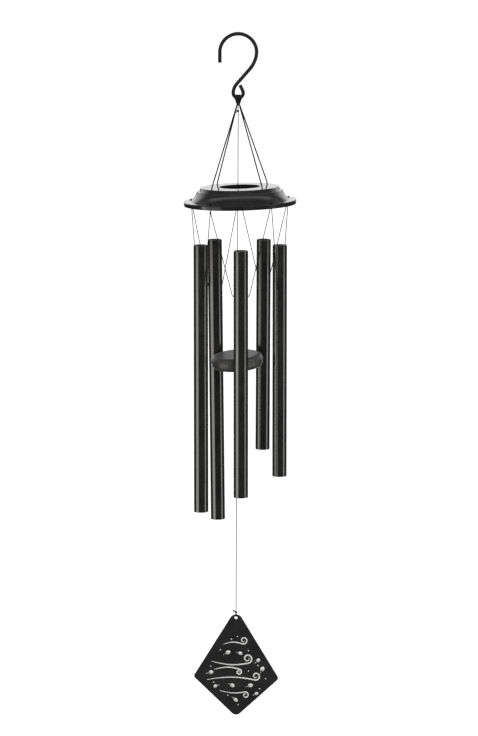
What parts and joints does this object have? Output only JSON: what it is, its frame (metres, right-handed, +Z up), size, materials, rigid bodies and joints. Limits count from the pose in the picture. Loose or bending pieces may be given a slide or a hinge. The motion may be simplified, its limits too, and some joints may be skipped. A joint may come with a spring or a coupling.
{
  "type": "wind chime",
  "caption": "Garden wind chime: open-ended metal tubes on V cords under a round cap, with a wooden striker and a kite-shaped sail on a centre cord, hung from a wire hook.",
  "frame": {"origin": "the hanging point, the inside top of the hook's large loop", "axes": "+Z up, +X to the right of the hook's flat side, -Y is the front"},
  "size_m": [0.1488, 0.1488, 0.9148],
  "materials": {
    "hook_wire": "satin black",
    "thick_cord": "braided, matte",
    "thin_cord": "braided, matte",
    "crown_enamel": "gloss black enamel",
    "tube_coating": "satin black powder coat",
    "striker_wood": "black stained, open grain",
    "sail_board": "matte black, fine texture"
  },
  "bodies": {
    "hook": {"s_hook": "hook_wire"},
    "eye_loop": {"hanging_loop": "thick_cord"},
    "top_knot": {"main_knot": "thick_cord"},
    "crown": {"crown_shell": "crown_enamel", "suspension_knots": "thick_cord", "rim_knots": "thin_cord", "rim_under_knot": "thin_cord", "suspension_cord_1": "thick_cord", "suspension_cord_2": "thick_cord", "suspension_cord_3": "thick_cord", "suspension_cord_4": "thick_cord"},
    "tube_sling_1": {"tube_cord_1": "thin_cord"},
    "chime_1": {"tube_1": "tube_coating"},
    "tube_sling_2": {"tube_cord_2": "thin_cord"},
    "chime_2": {"tube_2": "tube_coating"},
    "tube_sling_3": {"tube_cord_3": "thin_cord"},
    "chime_3": {"tube_3": "tube_coating"},
    "tube_sling_4": {"tube_cord_4": "thin_cord"},
    "chime_4": {"tube_4": "tube_coating"},
    "tube_sling_5": {"tube_cord_5": "thin_cord"},
    "chime_5": {"tube_5": "tube_coating"},
    "centre_knot": {"upper_strand": "thin_cord", "striker_knot": "thin_cord"},
    "striker": {"striker_cord": "thin_cord", "striker": "striker_wood"},
    "stop_knot": {"striker_stop_knot": "thin_cord"},
    "sail_line": {"sail_cord": "thin_cord"},
    "sail_tie": {"sail_knot": "thin_cord"},
    "sail": {"sail": "sail_board"}
  },
  "joints": [
    {"name": "loop_slide_in_eye", "type": "hinge", "parent": "hook", "child": "eye_loop", "pos_m": [0.00004, 0, -0.07489], "axis": [0, 1, 0], "range_deg": [-20, 20]},
    {"name": "front_back_swing", "type": "hinge", "parent": "eye_loop", "child": "top_knot", "pos_m": [0.00004, 0, -0.08139], "axis": [1, 0, 0], "range_deg": [-20, 20]},
    {"name": "crown_twist", "type": "hinge", "parent": "top_knot", "child": "crown", "pos_m": [0.00004, 0, -0.08844], "axis": [0, 0, 1], "range_deg": [-30, 30]},
    {"name": "sling_1_swing", "type": "hinge", "parent": "crown", "child": "tube_sling_1", "pos_m": [-0.03046, 0.04361, -0.21965], "axis": [0.7984, 0.6018, 0.0209], "range_deg": [-0.8, 20]},
    {"name": "tube_1_rock", "type": "hinge", "parent": "tube_sling_1", "child": "chime_1", "pos_m": [-0.03046, 0.04361, -0.3368], "axis": [0.7985, 0.6019, 0], "range_deg": [-0.5, 12]},
    {"name": "sling_2_swing", "type": "hinge", "parent": "crown", "child": "tube_sling_2", "pos_m": [-0.04912, -0.01778, -0.22414], "axis": [-0.3264, 0.9407, 0.0918], "range_deg": [-0.8, 20]},
    {"name": "tube_2_rock", "type": "hinge", "parent": "tube_sling_2", "child": "chime_2", "pos_m": [-0.04912, -0.01778, -0.3398], "axis": [-0.3278, 0.9447, 0], "range_deg": [-0.5, 12]},
    {"name": "sling_3_swing", "type": "hinge", "parent": "crown", "child": "tube_sling_3", "pos_m": [0.00345, -0.0546, -0.22277], "axis": [-0.9918, -0.0174, -0.1263], "range_deg": [-0.8, 20]},
    {"name": "tube_3_rock", "type": "hinge", "parent": "tube_sling_3", "child": "chime_3", "pos_m": [0.00345, -0.0546, -0.3363], "axis": [-0.9998, -0.0175, 0], "range_deg": [-0.5, 12]},
    {"name": "sling_4_swing", "type": "hinge", "parent": "crown", "child": "tube_sling_4", "pos_m": [0.05459, -0.01597, -0.21743], "axis": [-0.2923, -0.9563, -0.0077], "range_deg": [-0.8, 20]},
    {"name": "tube_4_rock", "type": "hinge", "parent": "tube_sling_4", "child": "chime_4", "pos_m": [0.05459, -0.01597, -0.3293], "axis": [-0.2923, -0.9563, 0], "range_deg": [-0.5, 12]},
    {"name": "sling_5_swing", "type": "hinge", "parent": "crown", "child": "tube_sling_5", "pos_m": [0.0337, 0.04473, -0.21797], "axis": [0.8189, -0.5736, 0.0214], "range_deg": [-0.8, 20]},
    {"name": "tube_5_rock", "type": "hinge", "parent": "tube_sling_5", "child": "chime_5", "pos_m": [0.0337, 0.04473, -0.3178], "axis": [0.8191, -0.5737, 0], "range_deg": [-0.5, 12]},
    {"name": "striker_front_back", "type": "hinge", "parent": "top_knot", "child": "centre_knot", "pos_m": [0.00004, 0, -0.08844], "axis": [1, 0, 0], "range_deg": [-1, 1]},
    {"name": "striker_side", "type": "hinge", "parent": "centre_knot", "child": "striker", "pos_m": [0.00004, 0, -0.0988], "axis": [0, 1, 0], "range_deg": [-1, 1]},
    {"name": "sail_line_front_back", "type": "hinge", "parent": "striker", "child": "stop_knot", "pos_m": [-0.00145, 0, -0.44], "axis": [1, 0, 0], "range_deg": [-8, 8]},
    {"name": "sail_line_side", "type": "hinge", "parent": "stop_knot", "child": "sail_line", "pos_m": [-0.00145, 0, -0.44], "axis": [0, 1, 0], "range_deg": [-8, 8]},
    {"name": "sail_spin", "type": "hinge", "parent": "sail_line", "child": "sail_tie", "pos_m": [-0.00291, 0, -0.7753], "axis": [0.0044, 0, 1], "range_deg": [-120, 120]},
    {"name": "sail_rock", "type": "hinge", "parent": "sail_tie", "child": "sail", "pos_m": [-0.00291, 0, -0.7753], "axis": [-0.1288, -0.9917, 0], "range_deg": [-20, 20]}
  ]
}
